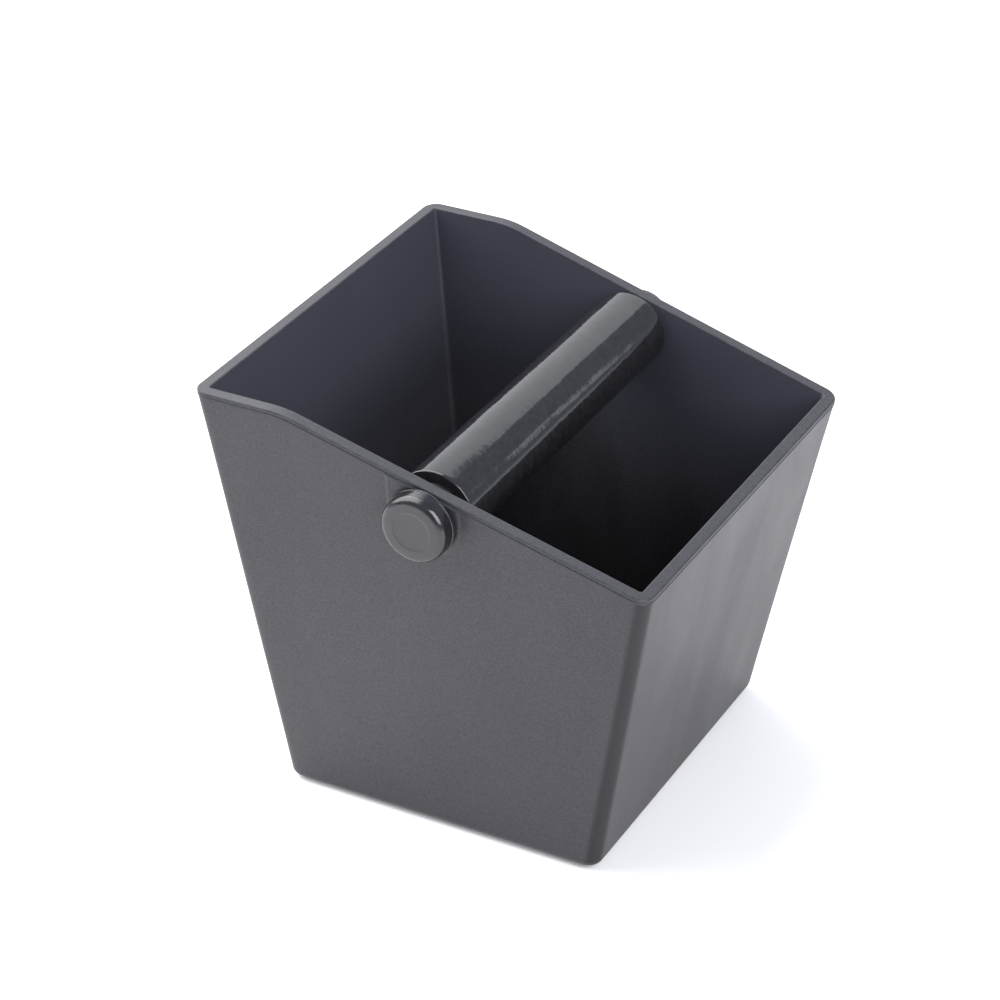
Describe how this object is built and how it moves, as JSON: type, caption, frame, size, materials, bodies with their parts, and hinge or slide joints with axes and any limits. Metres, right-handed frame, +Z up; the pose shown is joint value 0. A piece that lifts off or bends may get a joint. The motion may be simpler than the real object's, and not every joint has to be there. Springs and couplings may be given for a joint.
{
  "type": "espresso knock box",
  "caption": "Tapered square bucket with a sloping rim and a rubber-sleeved knock bar across its mouth, held by a round knob outside the front wall and a low cap outside the rear wall.",
  "frame": {"origin": "on the table, below the middle of the whole object", "axes": "+Z up, +X towards the low end of the rim, +Y along the knock bar towards the rear cap; the front is -Y, where the knob is"},
  "size_m": [0.1549, 0.1584, 0.15],
  "materials": {
    "bucket_shell": "fine satin moulded ABS",
    "sleeve_rubber": "glossy smooth rubber",
    "knob_gloss": "glossy moulded plastic",
    "tube_steel": "drawn stainless tube",
    "spacer_steel": "turned stainless",
    "stud_steel": "bright threaded steel",
    "insert_brass": "turned brass",
    "bush_nylon": "moulded black nylon",
    "washer_nylon": "natural nylon",
    "foot_rubber": "matte rubber"
  },
  "bodies": {
    "box": {"bucket": "bucket_shell", "foot_front_high": "foot_rubber", "foot_front_low": "foot_rubber", "foot_rear_high": "foot_rubber", "foot_rear_low": "foot_rubber", "front_bush": "bush_nylon", "rear_bush": "bush_nylon"},
    "knock_bar": {"bar_tube": "tube_steel", "bar_sleeve": "sleeve_rubber", "front_spacer": "spacer_steel", "rear_spacer": "spacer_steel", "front_insert": "insert_brass", "rear_insert": "insert_brass", "rear_washer": "washer_nylon", "rear_cap": "knob_gloss", "rear_stud": "stud_steel"},
    "turning_washer": {"front_washer": "washer_nylon"},
    "free_knob": {"front_knob": "knob_gloss", "front_stud": "stud_steel"}
  },
  "joints": [
    {"name": "bar_spin", "type": "hinge", "parent": "box", "child": "knock_bar", "pos_m": [0.003, 0.001, 0.1242], "axis": [0, 1, 0], "continuous": true},
    {"name": "knob_turn", "type": "hinge", "parent": "knock_bar", "child": "turning_washer", "pos_m": [0.003, 0.001, 0.1242], "axis": [0, -1, 0], "range_deg": [0, 3456]},
    {"name": "knob_travel", "type": "slide", "parent": "turning_washer", "child": "free_knob", "axis": [0, -1, 0], "range_m": [0, 0.012]}
  ],
  "couplings": [
    {"joint": "knob_travel", "follows": "knob_turn", "m_per_rad": 0.00019894}
  ]
}
